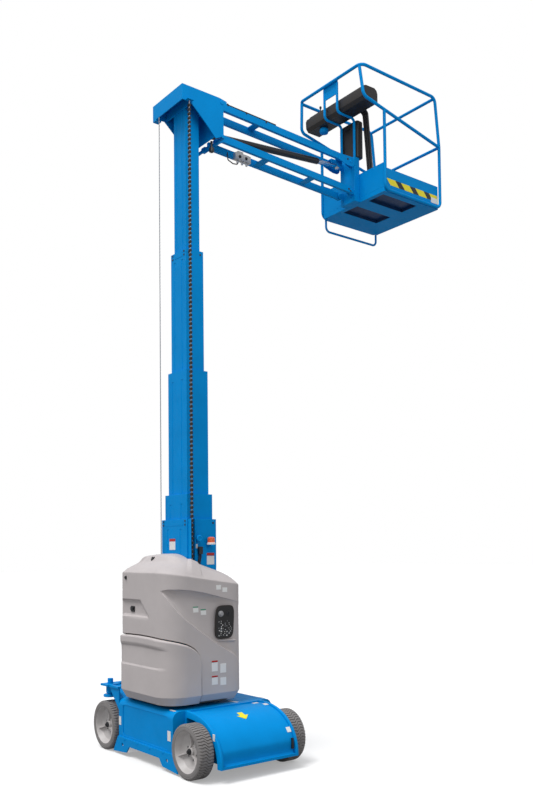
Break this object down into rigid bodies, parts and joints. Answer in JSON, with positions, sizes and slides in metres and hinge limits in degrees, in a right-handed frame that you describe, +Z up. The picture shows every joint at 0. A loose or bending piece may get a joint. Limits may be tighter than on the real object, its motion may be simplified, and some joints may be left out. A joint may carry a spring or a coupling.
{
  "type": "vertical mast lift",
  "caption": "Self-propelled vertical mast lift: wheeled chassis, slewing covered turntable, telescoping box mast and a levelling jib with a railed platform",
  "frame": {"origin": "on the floor, under the slew axis", "axes": "+X to the drive end of the chassis, +Y the jib's reach at rest, +Z up"},
  "size_m": [1.755, 3.224, 6.205],
  "materials": {
    "blue_paint": "gloss",
    "cover_plastic": "matte",
    "tyre_rubber": "matte",
    "rim_paint": "satin",
    "black_plastic": "matte",
    "black_rubber": "matte",
    "dark_iron": "matte",
    "black_paint": "gloss",
    "rod_chrome": "polished",
    "bare_aluminium": "satin",
    "wire_steel": "satin",
    "lamp_orange": "gloss",
    "ring_steel": "satin",
    "deck_aluminium": "gloss"
  },
  "bodies": {
    "chassis": {"chassis_frame": "blue_paint", "side_guard_left": "blue_paint", "side_guard_right": "blue_paint", "ballast_block": "dark_iron", "end_cover": "blue_paint", "drive_hubs": "dark_iron", "slew_ring": "ring_steel"},
    "steer_left": {"steer_knuckle_left": "blue_paint"},
    "steer_right": {"steer_knuckle_right": "blue_paint"},
    "wheel_drive_left": {"wheel_drive_left_rim": "rim_paint", "wheel_drive_left_tyre": "tyre_rubber"},
    "wheel_drive_right": {"wheel_drive_right_rim": "rim_paint", "wheel_drive_right_tyre": "tyre_rubber"},
    "wheel_steer_left": {"wheel_steer_left_rim": "rim_paint", "wheel_steer_left_tyre": "tyre_rubber"},
    "wheel_steer_right": {"wheel_steer_right_rim": "rim_paint", "wheel_steer_right_tyre": "tyre_rubber"},
    "turntable": {"turntable_base": "blue_paint", "counterweight": "dark_iron", "battery_pack": "dark_iron", "lower_cover": "cover_plastic", "cover_left": "cover_plastic", "cover_right": "cover_plastic", "ground_controls": "black_plastic", "mast_outer": "blue_paint", "carrier_trough": "blue_paint", "warning_beacon": "lamp_orange"},
    "stage_2": {"mast_section_2": "blue_paint", "cable_carrier": "black_rubber", "level_cable": "wire_steel"},
    "stage_3": {"mast_section_3": "blue_paint"},
    "stage_4": {"mast_section_4": "blue_paint"},
    "stage_5": {"mast_section_5": "blue_paint", "mast_head": "blue_paint"},
    "jib_lower": {"jib_lower_arm": "blue_paint", "jib_valve": "bare_aluminium"},
    "jib_upper": {"jib_upper_arm": "blue_paint", "jib_hoses": "black_rubber"},
    "jib_barrel": {"jib_cylinder_barrel": "black_paint"},
    "jib_rod": {"jib_cylinder_rod": "rod_chrome"},
    "platform": {"platform_bracket": "blue_paint", "platform_floor": "deck_aluminium", "kick_panel": "blue_paint", "toe_boards": "blue_paint", "guard_rail_left": "blue_paint", "guard_rail_right": "blue_paint", "guard_rail_crossbars": "blue_paint", "entry_step": "blue_paint", "console_stand": "blue_paint", "control_console": "black_plastic", "document_box": "black_plastic", "hose_bundle": "black_rubber"},
    "entry_slide": {"entry_bar": "blue_paint"}
  },
  "joints": [
    {"name": "wheel_drive_left_spin", "type": "hinge", "parent": "chassis", "child": "wheel_drive_left", "pos_m": [0.642, 0.4315, 0.203], "axis": [0, 1, 0], "continuous": true},
    {"name": "wheel_drive_right_spin", "type": "hinge", "parent": "chassis", "child": "wheel_drive_right", "pos_m": [0.642, -0.4315, 0.203], "axis": [0, 1, 0], "continuous": true},
    {"name": "steer_left_turn", "type": "hinge", "parent": "chassis", "child": "steer_left", "pos_m": [-0.642, 0.4315, 0.5], "axis": [0, 0, 1], "range_deg": [-55, 55]},
    {"name": "steer_right_turn", "type": "hinge", "parent": "chassis", "child": "steer_right", "pos_m": [-0.642, -0.4315, 0.5], "axis": [0, 0, 1], "range_deg": [-55, 55]},
    {"name": "wheel_steer_left_spin", "type": "hinge", "parent": "steer_left", "child": "wheel_steer_left", "pos_m": [-0.642, 0.4315, 0.203], "axis": [0, 1, 0], "continuous": true},
    {"name": "wheel_steer_right_spin", "type": "hinge", "parent": "steer_right", "child": "wheel_steer_right", "pos_m": [-0.642, -0.4315, 0.203], "axis": [0, 1, 0], "continuous": true},
    {"name": "slew", "type": "hinge", "parent": "chassis", "child": "turntable", "pos_m": [0, 0, 0.46], "axis": [0, 0, 1], "range_deg": [-262.5, 82.5]},
    {"name": "stage_2_lift", "type": "slide", "parent": "turntable", "child": "stage_2", "axis": [0, 0, 1], "range_m": [-0.2, 0.95]},
    {"name": "stage_3_lift", "type": "slide", "parent": "stage_2", "child": "stage_3", "axis": [0, 0, 1], "range_m": [-1.065, 0], "deforming": ["cable_carrier", "level_cable"]},
    {"name": "stage_4_lift", "type": "slide", "parent": "stage_3", "child": "stage_4", "axis": [0, 0, 1], "range_m": [-1.065, 0]},
    {"name": "stage_5_lift", "type": "slide", "parent": "stage_4", "child": "stage_5", "axis": [0, 0, 1], "range_m": [-1.065, 0]},
    {"name": "jib_lift", "type": "hinge", "parent": "stage_5", "child": "jib_lower", "pos_m": [0, 0.205, 5.165], "axis": [1, 0, 0], "range_deg": [-60, 70]},
    {"name": "jib_upper_follow", "type": "hinge", "parent": "stage_5", "child": "jib_upper", "pos_m": [0, 0.195, 5.455], "axis": [1, 0, 0], "range_deg": [-60, 70]},
    {"name": "platform_level", "type": "hinge", "parent": "jib_lower", "child": "platform", "pos_m": [0, 1.79, 5.14], "axis": [1, 0, 0], "range_deg": [-70, 60]},
    {"name": "jib_barrel_follow", "type": "hinge", "parent": "stage_5", "child": "jib_barrel", "pos_m": [0, 0.2, 5.26], "axis": [1, 0, 0], "range_deg": [-59, 69]},
    {"name": "jib_rod_follow", "type": "slide", "parent": "jib_barrel", "child": "jib_rod", "axis": [0, 0.9955, 0.0952], "range_m": [-0.21, 0.24]},
    {"name": "entry_bar_lift", "type": "slide", "parent": "platform", "child": "entry_slide", "axis": [0, 0, 1], "range_m": [0, 0.22]}
  ],
  "couplings": [
    {"joint": "steer_right_turn", "follows": "steer_left_turn", "ratio": 1},
    {"joint": "stage_4_lift", "follows": "stage_3_lift", "ratio": 1},
    {"joint": "stage_5_lift", "follows": "stage_3_lift", "ratio": 1},
    {"joint": "jib_upper_follow", "follows": "jib_lift", "ratio": 1},
    {"joint": "platform_level", "follows": "jib_lift", "ratio": -1},
    {"joint": "jib_barrel_follow", "follows": "jib_lift", "ratio": 0.98},
    {"joint": "jib_rod_follow", "follows": "jib_lift", "m_per_rad": 0.195}
  ]
}
